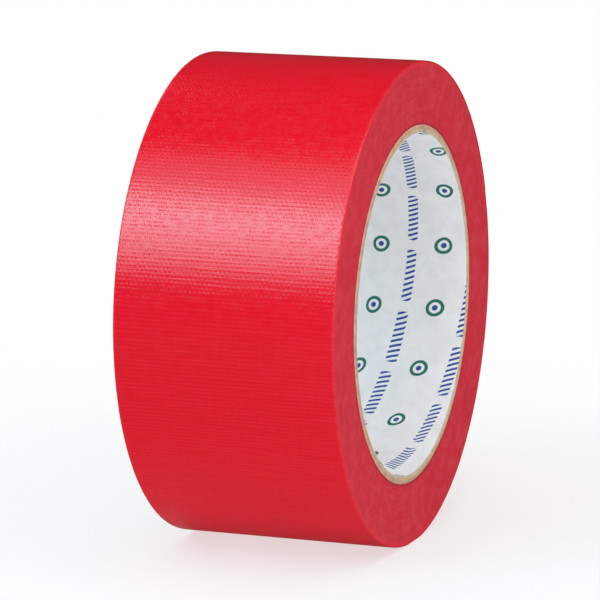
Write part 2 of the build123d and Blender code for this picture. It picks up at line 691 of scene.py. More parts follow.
@dataclass(frozen=True)
class Stain:
    """A colour laid over the ones before it. Its mask is the product of its share and of some
    measures, each carried through a ramp if it has one."""

    name: str
    colour: Colour
    measures: Mapping[str, Optional[Ramp]]
    share: float = 1.0

    def over(self, g: Graph, below: Input, given: Mapping[str, Socket]) -> Socket:
        """Lay the colour over another.

        Args:
            g: Graph of the material.
            below: The colour below.
            given: Every measure of the material, by name.

        Returns:
            The mixed colour.
        """
        mask = self.share
        for key, ramp in self.measures.items():
            mask = g.times(given[key] if ramp is None else g.remap(given[key], ramp), mask)
        mixed = g.mix(mask, below, self.colour)
        mixed.node.label = self.name
        return mixed


class Relief(NamedTuple):
    """Fine bump: its real height, its strength, and the share of each measure in it."""

    height: float
    strength: float
    shares: Mapping[str, float]


Effects = tuple[tuple[Effect, Mapping[str, float]], ...]
Stains = tuple[Stain, ...]
Gloss = tuple[str, Ramp]


@dataclass(frozen=True)
class Finish:
    """A material: stains on a base colour, a roughness that follows one measure, and a bump.
    It reads the piece's UV map if it lies on a sheet, and the place on the roll if not. The
    measures are what the effects put out, each placed with the finish's own values."""

    name: str
    base: Colour
    effects: Effects = ()
    stains: Stains = ()
    roughness: Gloss = ("Fine", Ramp(0.3, 0.7, 0.5, 0.7))
    relief: Optional[Relief] = None
    specular: float = 0.2
    on_sheet: bool = False

    def material(self, shop: Shop) -> bpy.types.Material:
        """Make the material.

        Args:
            shop: The shared effects.

        Returns:
            The material.
        """
        made, g, shader = start_material(self.name, Specular_IOR_Level=self.specular)
        if self.on_sheet:
            place = g.node("ShaderNodeUVMap", {}, uv_map=UV_NAME).outputs["UV"]
        else:
            place = g.node("ShaderNodeTexCoord", {}).outputs["Object"]
        given: dict[str, Socket] = {}
        for effect, inputs in self.effects:
            given |= g.place(shop.groups[effect], {"Vector": place, **inputs})
        colour = self.base
        for stain in self.stains:
            colour = stain.over(g, colour, given)
        g.tree.links.new(colour, shader["Base Color"])
        key, ramp = self.roughness
        g.tree.links.new(g.remap(given[key], ramp), shader["Roughness"])
        if self.relief:
            height, strength, shares = self.relief
            total = 0.0
            for key, share in shares.items():
                total = g.times_plus(given[key], share, total)
            g.tree.links.new(g.bump(total, height, strength), shader["Normal"])
        return made


@dataclass(frozen=True)
class FilmFinish(Finish):
    """Semi-gloss coloured film, embossed by the cloth under it."""

    name: str = "red_film"
    base: Colour = srgb(219, 0, 28)
    effects: Effects = ((Effect.WEAVE, {}),)
    stains: Stains = (
        Stain("deep film", srgb(216, 0, 24), {"Cloud": Ramp(0.3, 0.7, 0.0, 0.5)}),
        Stain("thin film", srgb(225, 13, 42), {"Tone": Ramp(0.0, 0.7)}),
        Stain(
            "worn edge",
            srgb(223, 34, 50),
            {"Across": Ramp(24.4 * MM, 24.8 * MM), "Worn": Ramp(0.35, 0.6, 0.25)},
        ),
    )
    roughness: Gloss = ("Worn", Ramp(0.3, 0.7, 0.17, 0.21))
    relief: Relief = Relief(0.048 * MM, 1.0, {"Height": 1.0})
    specular: float = 0.7
    on_sheet: bool = True


@dataclass(frozen=True)
class ClothFinish(Finish):
    """Cut threads of the cloth, between the film and the adhesive."""

    name: str = "cloth_layer"
    base: Colour = srgb(210, 54, 68)
    effects: Effects = ((Effect.WEAVE, {}),)
    stains: Stains = (
        Stain("pale thread", srgb(232, 130, 134), {"Height": Ramp(0.3, 1.0)}),
    )
    roughness: Gloss = ("Worn", Ramp(0.3, 0.7, 0.65, 0.85))
    relief: Relief = Relief(0.04 * MM, 1.0, {"Height": 1.0})
    specular: float = 0.25
    on_sheet: bool = True


@dataclass(frozen=True)
class AdhesiveFinish(Finish):
    """Cream adhesive with the scrim's threads under it, and the film's colour at its edges."""

    name: str = "cream_adhesive"
    base: Colour = srgb(226, 205, 188)
    effects: Effects = ((Effect.WEAVE, {"Cloud scale": 500.0, "Cloud detail": 3.0}),)
    stains: Stains = (
        Stain("tint", srgb(214, 150, 140), {"Cloud": None}),
        Stain("thread", srgb(240, 230, 220), {"Height": Ramp(0.2, 0.8, 0.0, 0.8)}),
        Stain("slit edge", srgb(210, 40, 56), {"Across": Ramp(24.8 * MM, 24.9 * MM)}),
    )
    roughness: Gloss = ("Worn", Ramp(0.3, 0.7, 0.24, 0.45))
    relief: Relief = Relief(0.03 * MM, 1.0, {"Height": 1.0})
    specular: float = 0.5
    on_sheet: bool = True


@dataclass(frozen=True)
class CutEdgeFinish(Finish):
    """Slit edges of wound tape: film, pale cloth ends and adhesive in fine rings, brighter at
    the rim, and darkened next to the core by painted shade where the recess meets the core."""

    name: str = "slit_edges"
    base: Colour = srgb(206, 30, 50)
    effects: Effects = ((Effect.RINGS, {}), (Effect.GRAIN, {"Scale": 1400.0}))
    stains: Stains = (
        Stain("film", srgb(215, 40, 60), {"Drift": Ramp(0.35, 0.7)}),
        Stain("cloth ends", srgb(226, 84, 98), {"Fleck": Ramp(0.5, 0.75, 0.0, 0.3)}),
        Stain("cloth dust", srgb(226, 84, 98), {"Mottle": Ramp(0.4, 0.7, 0.0, 0.25)}),
        Stain("rim", srgb(232, 40, 58), {"Radius": Ramp(52.3 * MM, 54.1 * MM, 0.0, 0.75)}),
        # painted shade: the face is darkened next to the core, standing in for the recess's shadow
        # there
        Stain("shade", srgb(150, 38, 46), {"Radius": Ramp(39.98 * MM, 40.88 * MM, 0.7, 0.0)}),
    )
    roughness: Gloss = ("Fine", Ramp(0.3, 0.7, 0.5, 0.7))
    relief: Relief = Relief(0.02 * MM, 0.6, {"Ridge": 0.5, "Fine": 0.6})
    specular: float = 0.15


class KraftTone(Enum):
    """Colours of the core's plies, from the bore out."""

    GREY = srgb(206, 188, 166)
    TAN = srgb(210, 181, 148)
    SAND = srgb(200, 167, 134)
    PINK = srgb(212, 170, 149)


@dataclass(frozen=True)
class KraftFinish(Finish):
    """Core board of one tone, with short brown fibres."""

    effects: Effects = ((Effect.GRAIN, {"Scale": 1800.0}),)
    stains: Stains = (
        Stain("fibres", srgb(150, 114, 82), {"Mottle": Ramp(0.35, 0.75, 0.0, 0.45)}),
        Stain("specks", srgb(150, 114, 82), {"Speck": None}, 0.7),
    )
    roughness: Gloss = ("Fine", Ramp(0.3, 0.7, 0.75, 0.95))
    relief: Relief = Relief(0.04 * MM, 0.7, {"Fine": 1.0})


@dataclass(frozen=True)
class LinerFinish(Finish):
    """White paper with a generic print in two inks."""

    name: str = "printed_liner"
    base: Colour = srgb(238, 238, 239)
    effects: Effects = ((Effect.GRAIN, {"Scale": 900.0}), (Effect.PRINT, {}))
    stains: Stains = (
        Stain("shaded paper", srgb(230, 231, 232), {"Mottle": Ramp(0.35, 0.7)}),
        Stain("blue ink", srgb(22, 68, 152), {"Fine": Ramp(0.25, 0.6, 0.9), "Blue": None}),
        Stain("teal ink", srgb(0, 108, 94), {"Fine": Ramp(0.25, 0.6, 0.9), "Teal": None}),
    )
    roughness: Gloss = ("Fine", Ramp(0.3, 0.7, 0.5, 0.68))
    relief: Relief = Relief(0.01 * MM, 0.6, {"Fine": 1.0})
    on_sheet: bool = True


@dataclass(frozen=True)
class ThreadFinish(Finish):
    """Loose cotton fibres, stained by the film."""

    name: str = "loose_threads"
    base: Colour = srgb(228, 96, 104)
    effects: Effects = ((Effect.GRAIN, {"Scale": 900.0}),)
    stains: Stains = (
        Stain("pale cotton", srgb(240, 180, 178), {"Mottle": Ramp(0.4, 0.6)}),
    )
    roughness: Gloss = ("Fine", Ramp(0.3, 0.7, 0.7, 0.9))


# ---- the tape ----


@dataclass(frozen=True)
class Winding:
    """Path of the tape's outer turns, a four-centre spiral that shrinks as phi grows.

    Each quarter turn is an arc. Its centre is a corner of a small square round the axis, whose
    side is a quarter of the tape's thickness, and its radius is less than the last one's by
    that side. Across the flat that the roll rests on, the path is a level line instead.
    """

    width: float = 50 * MM
    length: float = 25_000 * MM
    film: float = 0.05 * MM
    cloth: float = 0.068 * MM
    adhesive: float = 0.05 * MM
    core_radius: float = 39.98 * MM
    free_edge: float = 20.0
    lead_length: float = 40 * MM
    lead_links: int = 4
    lead_lift: float = 0.04 * MM
    rest_flat: float = 8 * MM
    rest_reach: float = 30.0
    tuck: float = 2.0

    @property
    def thickness(self) -> float:
        """Thickness of the tape."""
        return self.film + self.cloth + self.adhesive

    @property
    def radius(self) -> float:
        """Outer radius at the free edge: the tape's cut area, laid round the core."""
        return math.sqrt(self.core_radius**2 + self.length * self.thickness / math.pi)

    @property
    def rest(self) -> float:
        """Angle phi of the lowest point of the rim."""
        return 270 - self.free_edge

    @property
    def lead_angle(self) -> float:
        """Degrees of the rim that the loose lead end covers."""
        return math.degrees(self.lead_length / self.radius)

    def hinge_angle(self, link: float) -> float:
        """Angle phi of a link's hinge, link 1 being the first to peel; halves are mid-link."""
        return (self.lead_links + 1 - link) * self.lead_angle / self.lead_links

    def direction(self, phi: Array) -> Array:
        """Unit vectors at angles phi, as X and Z parts."""
        turned = np.radians(self.free_edge + phi)
        return np.stack([np.cos(turned), np.sin(turned)], axis=-1)

    def section(self, phi: Array, depth: Array) -> Array:
        """Points of the tape's outer face moved in by a depth: centre plus direction times the
        shorter of the arc's radius and the flat's distance over the cosine of the angle to it.

        Args:
            phi: Angles past the free edge, in degrees.
            depth: Depths below the outer face.

        Returns:
            X and Z of each point.
        """
        quarter = np.floor(phi / 90)
        centre = self.direction(90 * quarter) - self.direction(90 * (quarter + 1))
        radius = self.radius - quarter * self.thickness / 4
        rest_radius = self.radius - self.rest // 90 * self.thickness / 4
        level = math.sqrt(rest_radius**2 - (self.rest_flat / 2) ** 2)
        off_rest = np.radians(np.clip(phi - self.rest, -self.rest_reach, self.rest_reach))
        reach = np.minimum(radius - depth, (level - depth) / np.cos(off_rest))
        return centre * self.thickness / 8 + self.direction(phi) * reach[..., None]

    def surface(self, phi: Array, across: Array, depth: Array) -> Array:
        """Points of a sheet that follows the tape.

        Args:
            phi: Angles past the free edge, in degrees.
            across: Places along the roll's axis.
            depth: Depths below the tape's outer face.

        Returns:
            Points, in the shape that the three broadcast to.
        """
        phi, across, depth = np.broadcast_arrays(phi, across, depth)
        flat = self.section(phi, depth)
        return np.stack([flat[..., 0], across, flat[..., 1]], axis=-1)

    def arc_length(self, phi: Array) -> Array:
        """Distance along the tape from the free edge."""
        return np.radians(phi) * self.radius


@dataclass(frozen=True)
class Strip:
    """A stretch of tape as a closed sheet, with ribs of the cloth in its film. Its tear and
    the reach of its tear and lift are in degrees, and the tear's waves in half widths."""

    winding: Winding
    rib_pitch: float = 1.8 * MM
    steps_per_rib: int = 5
    rib_height: float = 0.012 * MM
    edge_round: float = 0.7 * MM
    edge_drop: float = 0.1 * MM
    edge_wander: float = 0.04 * MM
    edge_columns: tuple[float, ...] = (0.0, 0.05 * MM, 0.13 * MM, 0.25 * MM, 0.42 * MM)
    step_across: float = 0.6 * MM
    bend: float = 0.3 * MM
    wander_waves: tuple[float, ...] = (3 * MM, 7 * MM, 19 * MM)
    bend_waves: tuple[float, ...] = (23 * MM, 11 * MM, 37 * MM)
    fade_waves: tuple[float, ...] = (9 * MM, 3.1 * MM, 5.3 * MM)
    tear_waves: tuple[float, ...] = (0.021, 0.05, 0.13, 0.4)
    tear: float = 0.5
    tear_reach: float = 2.0
    lift_reach: float = 4.0

    @property
    def layers(self) -> list[tuple[float, int]]:
        """Share of the thickness and slot of each layer of the tape, from the outside in."""
        tape = self.winding
        depths = (tape.film, tape.cloth, tape.adhesive)
        return [(depth / tape.thickness, slot) for depth, slot in zip(depths, Layer)]

    def stations(self, start: float, end: float) -> Array:
        """Angles from start to end in equal steps, a few to a rib."""
        step = math.degrees(self.rib_pitch / self.steps_per_rib / self.winding.radius)
        return np.linspace(start, end, max(2, round((end - start) / step) + 1))

    def columns(self) -> Array:
        """Places across the tape from -1 to 1, closer together in the rounded edges."""
        near = np.array(self.edge_columns)
        half = self.winding.width / 2
        inner = half - self.step_across
        middle = np.linspace(-inner, inner, round(2 * inner / self.step_across) + 1)
        return np.concatenate([near - half, middle, (half - near)[::-1]]) / half

    def across(self, phi: Array, column: Array) -> Array:
        """Place along the axis: half the width, less a slow wander of the slit edge."""
        along = self.winding.arc_length(phi)
        wander = half_waves(along, np.sign(column) * MM, self.wander_waves, Seed.WANDER)
        return column * (self.winding.width / 2 - self.edge_wander * wander)

    def relief(self, phi: Array, across: Array) -> Array:
        """Depth of the film's face: a cosine rib over each thick weft, bent and faded by slow
        waves, and a quarter circle off the slit edges.

        Args:
            phi: Angles past the free edge, in degrees.
            across: Places along the roll's axis.

        Returns:
            Depths below the tape's outer face, none of them negative.
        """
        along = self.winding.arc_length(phi)
        bend = self.bend * waves(along, across, self.bend_waves, Seed.BEND)
        fade = half_waves(along, across, self.fade_waves, Seed.FADE)
        rib = 0.5 + 0.5 * np.cos(math.tau * (along + bend) / self.rib_pitch)
        to_edge = np.clip((self.winding.width / 2 - np.abs(across)) / self.edge_round, 0, 1)
        drop = 1 - np.sqrt(1 - (1 - to_edge) ** 2)
        return self.rib_height * (1 - rib * fade) + self.edge_drop * drop

    def uv(self, phi: Array, across: Array) -> Array:
        """Distance along and across the tape, in metres, for each point."""
        return np.stack(np.broadcast_arrays(self.winding.arc_length(phi), across), axis=-1)

    def lift(self, phi: Array) -> Array:
        """Height over the turn below: none up to the peel line, and eased in past it."""
        eased = smooth_step((self.winding.lead_angle - phi) / self.lift_reach)
        return self.winding.lead_lift * eased

    def patches(self, start: float, end: float, plain_inner: bool = False) -> list[Patch]:
        """Patches of a stretch, whose free edge is torn unevenly if it starts at zero.

        Args:
            start: Angle of its end nearer to the free edge, in degrees.
            end: Angle of its other end.
            plain_inner: Whether its inner face is one quad wide.

        Returns:
            The patches.
        """
        phi = self.stations(start, end)[:, None]
        column = self.columns()[None, :]
        if start == 0:
            tear = self.tear * half_waves(column, 0.0, self.tear_waves, Seed.TEAR)
            phi = phi + tear * (1 - smooth_step(phi / self.tear_reach))
        across = self.across(phi, column)
        lift = self.lift(phi)
        top = self.winding.surface(phi, across, self.relief(phi, across) - lift)
        under = across
        if plain_inner:
            under = across[:, np.where(np.arange(column.size) * 2 < column.size, 0, -1)]
        bottom = self.winding.surface(phi, under, self.winding.thickness - lift)
        return slab(top, bottom, self.uv(phi, across), self.layers, plain_inner)


@dataclass(frozen=True)
class WoundPack:
    """The wound turns under the last one, as one closed ring with their slit edges."""

    winding: Winding
    steps: int = 600
    rings: int = 64
    ramp: float = 0.05
    ring_relief: float = 0.016 * MM
    ring_waves: tuple[float, ...] = (0.55 * MM, 0.9 * MM, 1.7 * MM, 4.3 * MM)
    sway: Range = (0.6, 1.6)
    rim_round: float = 1.1 * MM
    rim_drop: float = 0.12 * MM
    dish: float = 0.4 * MM
    dish_power: float = 1.5

    def sink(self, radius: Array, phi: Array, depth: Array, side: Side) -> Array:
        """How far a side face lies in: sines of the radius, whose phase sways once or twice
        round the roll, and a square at the rim.

        Args:
            radius: Distance from the axis.
            phi: Angle past the free edge, in degrees.
            depth: Distance in from the pack's rim.
            side: Which face.

        Returns:
            Depth of each point.
        """
        draw = np.random.default_rng(Seed.PACK + side.value)
        total = 0.0
        for length in self.ring_waves:
            phase, sway = draw.uniform(0, math.tau), draw.uniform(*self.sway)
            swayed = sway * np.sin(draw.integers(1, 3) * np.radians(phi) + phase)
            total = total + np.sin(math.tau * radius / length + phase + swayed)
        rim = np.clip(1 - depth / self.rim_round, 0, 1) ** 2
        return self.ring_relief * (1 + total / len(self.ring_waves)) + self.rim_drop * rim

    def patches(self) -> list[Patch]:
        """One grid: across a side face from the bore to the rim and back along the other one,
        carried once round the spiral. The rim's step lies under the last turn's tucked end.

        Returns:
            The patch.
        """
        tape = self.winding
        start = tape.lead_angle + tape.tuck
        phi = start + np.linspace(0, 360 - self.ramp, self.steps)[:, None]
        out = np.linspace(0, 1, self.rings)[None, :, None]
        bore = tape.direction(phi) * tape.core_radius
        rim = tape.section(phi, np.full_like(phi, tape.thickness))
        flat = bore * (1 - out) + rim * out
        radius = np.linalg.norm(flat, axis=-1)
        depth = np.linalg.norm(rim, axis=-1) - radius
        faces = []
        for side in Side:
            lie = tape.width / 2 - self.sink(radius, phi, depth, side)
            lie = lie - self.dish * (1 - out[..., 0]) ** self.dish_power
            faces.append(np.stack([flat[..., 0], side.value * lie, flat[..., 1]], axis=-1))
        loop = np.concatenate([faces[0], faces[1][:, ::-1], faces[0][:, :1]], axis=1)
        loop = np.concatenate([loop, loop[:1]], axis=0)
        return [Patch(loop, loop[..., [0, 2]])]


@dataclass(frozen=True)
class TapeRoll:
    """The wound tape: its pack, the last turn stuck down, and the lead end that peels."""

    winding: Winding
    shop: Shop

    def build(self) -> list[bpy.types.Object]:
        """Build and dress every piece of tape.

        Returns:
            The pieces.
        """
        strip = Strip(self.winding)
        finishes = [FilmFinish(), ClothFinish(), AdhesiveFinish()]
        dress = [finish.material(self.shop) for finish in finishes]
        cut = CutEdgeFinish().material(self.shop)
        pack = build_piece("wound_turns", WoundPack(self.winding).patches(), [cut])
        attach(pack, "roll")
        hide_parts("wound_tape")

        lead = self.winding.lead_angle
        bound = strip.patches(lead, 360 + lead + self.winding.tuck, plain_inner=True)
        turn = build_piece("last_turn", bound, dress)
        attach(turn, "roll")
        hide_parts(*(f"outer_turn_{layer.name.lower()}" for layer in Layer))
        return [pack, turn, *(self.lead_strip(link, strip, dress) for link in self.links())]

    def links(self) -> range:
        """Numbers of the lead end's links, from the peel line on."""
        return range(1, self.winding.lead_links + 1)

    def lead_strip(
        self, link: int, strip: Strip, dress: Sequence[bpy.types.Material]
    ) -> bpy.types.Object:
        """Stretch of the lead end that spans one hinge, from the middle of the link
        before it to the middle of its own link.

        Args:
            link: Number of the link that hangs on the hinge.
            strip: The tape it is cut from.
            dress: Materials of the layers.

        Returns:
            The piece.
        """
        tape = self.winding
        near = 0.0 if link == tape.lead_links else tape.hinge_angle(link + 0.5)
        far = tape.hinge_angle(1) if link == 1 else tape.hinge_angle(link - 0.5)
        piece = build_piece(f"lead_stretch_{link}", strip.patches(near, far), dress)
        ends = np.array([far, tape.hinge_angle(link + 0.5)])
        start, end = tape.surface(ends, 0.0, -tape.lead_lift)
        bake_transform(piece)
        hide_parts(*(f"lead_end_{link}_{layer.name.lower()}" for layer in Layer))
        return piece


class Fray(NamedTuple):
    """Limits that the threads of one edge are drawn between. Depth, length and thickness are
    in metres. Lean and curl are shares of the length, one pair of limits for each way."""

    depth: Range
    long: Range
    lean: tuple[Range, ...]
    curl: tuple[Range, ...]
    thick: Range


@dataclass(frozen=True)
class LooseThreads:
    """Short frayed ends of the cloth, each a thin curved spindle."""

    winding: Winding
    shop: Shop
    rim_count: int = 170
    rim_margin: float = 3.0
    rest_margin: float = 14.0
    rim_inset: Range = (0.02 * MM, 0.12 * MM)
    rim_fray: Fray = Fray(
        depth=(0.05 * MM, 0.16 * MM),
        long=(0.15 * MM, 0.55 * MM),
        lean=((0.05, 0.35), (-1.0, 1.0), (-0.3, 0.25)),
        curl=((-0.25, 0.1), (-0.5, 0.5), (0.0, 0.3)),
        thick=(0.016 * MM, 0.03 * MM),
    )
    torn_count: int = 34
    torn_at: float = 0.6
    torn_span: float = 0.98
    torn_fray: Fray = Fray(
        depth=(0.04 * MM, 0.09 * MM),
        long=(0.6 * MM, 1.7 * MM),
        lean=((-0.4, 0.4),),
        curl=((-0.3, 0.3), (0.02, 0.07)),
        thick=(0.02 * MM, 0.035 * MM),
    )
    segments: int = 5
    sides: int = 4
    least_radius: float = 0.001 * MM

    def spindles(
        self,
        draw: np.random.Generator,
        fray: Fray,
        base: Array,
        lean_ways: Sequence[Array],
        curl_ways: Sequence[Array],
        straight: Union[Array, float] = 0.0,
    ) -> list[Patch]:
        """Closed spindles: a centre line that leaves its base along its lean and bends by the
        square of the way along its curl, with a round section that closes at both ends. Lean
        and curl are sums of ways, each times a drawn share, and times the drawn length.

        Args:
            draw: Where the random numbers come from.
            fray: Limits of what is drawn.
            base: Where each thread starts.
            lean_ways: Ways that make up the lean.
            curl_ways: Ways that make up the curl.
            straight: Part of the lean that isn't drawn.

        Returns:
            One patch for each thread.
        """
        size = len(base)

        def drawn(ways: Sequence[Array], limits: Sequence[Range]) -> Array:
            """Sum of the ways, each times a share between its limits."""
            return sum(way * draw.uniform(*pair, size)[:, None] for way, pair in zip(ways, limits))

        long = draw.uniform(*fray.long, size)[:, None]
        lean = long * (straight + drawn(lean_ways, fray.lean))
        curl = long * drawn(curl_ways, fray.curl)
        thick = draw.uniform(*fray.thick, size)[:, None, None, None]
        way = np.linspace(0, 1, self.segments)[None, :, None]
        line = base[:, None] + lean[:, None] * way + curl[:, None] * way**2
        side = unit(np.cross(lean, curl))
        up = unit(np.cross(side, lean))
        turn = np.linspace(0, math.tau, self.sides + 1)
        turn[-1] = 0.0
        swell = np.sqrt(np.sin(math.pi * way))[..., None] * thick
        ring = (
            side[:, None, None] * np.cos(turn)[None, None, :, None]
            + up[:, None, None] * np.sin(turn)[None, None, :, None]
        )
        points = line[:, :, None] + ring * np.where(swell > self.least_radius, swell, 0)
        return [Patch(thread, thread[..., :2]) for thread in points]

    def rim_patches(self) -> list[Patch]:
        """Threads along both slit edges of the last turn, clear of the flat it rests on.

        Returns:
            The patches.
        """
        draw = np.random.default_rng(Seed.RIM_THREADS)
        tape = self.winding
        start, end = tape.lead_angle + self.rim_margin, 360 - self.rim_margin
        phi = draw.uniform(start, end, self.rim_count)
        phi = phi[np.abs(phi - tape.rest) > self.rest_margin]
        side = draw.choice([side.value for side in Side], phi.size)
        across = side * (tape.width / 2 - draw.uniform(*self.rim_inset, phi.size))
        base = tape.surface(phi, across, draw.uniform(*self.rim_fray.depth, phi.size))
        out = unit(tape.surface(phi, across, -tape.radius) - base)
        axis = ROLL_AXIS * side[:, None]
        along = np.cross(axis, out)
        return self.spindles(draw, self.rim_fray, base, [axis, along, out], [axis, along, -out])

    def torn_patches(self) -> list[Patch]:
        """Threads that stick out of the torn free edge.

        Returns:
            The patches.
        """
        draw = np.random.default_rng(Seed.TORN_THREADS)
        tape = self.winding
        across = draw.uniform(-self.torn_span, self.torn_span, self.torn_count) * tape.width / 2
        depth = draw.uniform(*self.torn_fray.depth, self.torn_count) - tape.lead_lift
        base = tape.surface(np.full_like(across, self.torn_at), across, depth)
        (back_x, back_z), (out_x, out_z) = tape.direction(np.array([-90.0, 0.0]))
        back, out = np.array([back_x, 0.0, back_z]), np.array([out_x, 0.0, out_z])
        return self.spindles(draw, self.torn_fray, base, [ROLL_AXIS], [ROLL_AXIS, -out], back)

    def build(self) -> list[bpy.types.Object]:
        """Build both lots of threads.

        Returns:
            The pieces.
        """
        cotton = ThreadFinish().material(self.shop)
        rim = build_piece("rim_threads", self.rim_patches(), [cotton])
        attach(rim, "roll")
        torn = build_piece("torn_end_threads", self.torn_patches(), [cotton])
        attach(torn, f"lead_end_{self.winding.lead_links}")
        return [rim, torn]


# ---- the core ----


@dataclass(frozen=True)
class PaperCore:
    """Spirally wound core: a printed liner and four kraft plies, each one strip of paper. The
    rows are places along half the core, and a power of them tells its very end. The wall of
    each end is three rows of faces."""

    shop: Shop
    length: float = 49.2 * MM
    bore_radius: float = BORE_RADIUS
    liner: float = 0.12 * MM
    ply: float = 0.42 * MM
    glue_line: float = 0.02 * MM
    strip_width: float = 108 * MM
    seam_gap: float = 0.3 * MM
    seam_stagger: float = 75.0
    seam_overrun: float = 3 * MM
    liner_seam: float = -39.5
    overlap: float = 4 * MM
    overlap_rise: float = 0.1 * MM
    step: float = 0.5 * MM
    fray: float = 0.1 * MM
    fray_span: float = 5 * MM
    fray_waves: tuple[float, ...] = (0.9 * MM, 1.9 * MM, 4.7 * MM, 2.7 * MM)
    crown: float = 0.28 * MM
    crown_power: int = 3
    bow: float = 0.012 * MM
    bow_waves: tuple[float, ...] = (13 * MM, 29 * MM)
    rows: tuple[float, ...] = (0.4, 0.8, 0.98, 0.995, 1.0)
    end_power: int = 40
    wall: tuple[tuple[float, int], ...] = ((0.34, 0), (0.33, 0), (0.33, 0))

    def seam_angle(self, across: Array) -> Array:
        """Angle of the first ply's seam, which falls evenly along the axis by a turn for each
        pitch: width times girth over the root of girth squared less width squared."""
        girth = math.tau * self.bore_radius
        pitch = self.strip_width * girth / math.sqrt(girth**2 - self.strip_width**2)
        return 90 - 360 * (across + self.length / 2 + self.seam_overrun) / pitch

    def tube(self, inner: float, outer: float, seam: float, gap: float, seed: int) -> list[Patch]:
        """Strip of paper wound into a tube, with rough ends that are crowned over the board:
        one less a power of the distance from its middle. A strip with no gap overlaps itself.

        Args:
            inner: Inner radius.
            outer: Outer radius.
            seam: Turn from the first ply's seam to this one's, in degrees.
            gap: Open width of the seam.
            seed: Seed of the roughness of its ends.

        Returns:
            The patches.
        """
        share = np.linspace(0, 1, round(math.tau * inner / self.step))[:, None]
        rows = np.array(self.rows)
        place = np.concatenate([-rows[::-1], [0.0], rows])[None, :]
        at_end = np.abs(place) ** self.end_power
        round_it = share * math.tau * inner
        rough = half_waves(round_it, place * self.fray_span, self.fray_waves, seed)
        across = place * (self.length / 2 - self.fray * rough * at_end)
        half_gap = math.degrees(gap / 2 / inner)
        angle = self.seam_angle(across) + seam + half_gap + share * (360 - 2 * half_gap)
        theta = np.radians(angle)
        rise = np.zeros_like(share)
        if gap == 0:
            left = math.tau * inner - round_it
            rise = self.overlap_rise * smooth_step(1 - left / self.overlap)
        board = len(KraftTone) * (self.ply + self.glue_line)
        grids = []
        for radius in (np.full_like(share, outer), inner - rise):
            through = np.clip((radius - self.bore_radius - self.liner) / board, 0, 1)
            proud = self.crown * (1 - np.abs(2 * through - 1) ** self.crown_power)
            radius = radius + self.bow * waves(round_it, across, self.bow_waves, seed)
            ends = across + proud * np.sign(place) * at_end
            grids.append(
                np.stack([radius * np.cos(theta), ends, radius * np.sin(theta)], axis=-1)
            )
        uv = np.stack(np.broadcast_arrays(theta * inner, across), axis=-1)
        return slab(*grids, uv, self.wall)

    def build(self) -> list[bpy.types.Object]:
        """Build the liner and the plies, from the bore out.

        Returns:
            The pieces.
        """
        inner = self.bore_radius
        turned = self.liner_seam - float(self.seam_angle(np.array(0.0)))
        liner = build_piece(
            "printed_lining",
            self.tube(inner, inner + self.liner, turned, 0.0, Seed.CORE),
            [LinerFinish().material(self.shop)],
        )
        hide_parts("core_liner")
        pieces = [liner]
        inner += self.liner + self.glue_line
        for number, tone in enumerate(KraftTone, 1):
            seam = -self.seam_stagger * (number - 1)
            outer = inner + self.ply
            patches = self.tube(inner, outer, seam, self.seam_gap, Seed.CORE + number)
            finish = KraftFinish(f"kraft_{tone.name.lower()}", tone.value)
            ply = build_piece(f"kraft_ply_{number}", patches, [finish.material(self.shop)])
            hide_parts(f"core_ply_{number}")
            pieces.append(ply)
            inner += self.ply + self.glue_line
        for piece in pieces:
            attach(piece, "roll")
        return pieces


# ---- the studio ----


def heading(azimuth: float, elevation: float) -> Array:
    """Unit vector from the object towards a viewer: sine and minus cosine of the azimuth
    times the cosine of the elevation, and the elevation's sine.

    Args:
        azimuth: Degrees round Z. Azimuth 0 looks along +Y.
        elevation: Degrees above the horizon.

    Returns:
        The vector.
    """
    turn, rise = math.radians(azimuth), math.radians(elevation)
    return np.array(
        [math.sin(turn) * math.cos(rise), -math.cos(turn) * math.cos(rise), math.sin(rise)]
    )


@dataclass(frozen=True)
class SoftBox:
    """A rectangular lamp that faces the object."""

    name: str
    azimuth: float
    elevation: float
    distance: float
    width: float
    height: float
    radiance: float
    colour: tuple[float, float, float] = (1.0, 1.0, 1.0)

    def build(self) -> bpy.types.Object:
        """Put the lamp in place. Its power is its radiance times pi times its area.

        Returns:
            The lamp.
        """
        lamp = bpy.data.lights.new(self.name, "AREA")
        lamp.shape = "RECTANGLE"
        lamp.size, lamp.size_y = self.width, self.height
        lamp.energy = self.radiance * math.pi * self.width * self.height
        lamp.color = self.colour
        placed = bpy.data.objects.new(self.name, lamp)
        back = Vector(heading(self.azimuth, self.elevation))
        placed.location = back * self.distance
        placed.rotation_euler = back.to_track_quat("Z", "Y").to_euler()
        placed.visible_camera = False
        bpy.context.scene.collection.objects.link(placed)
        return placed


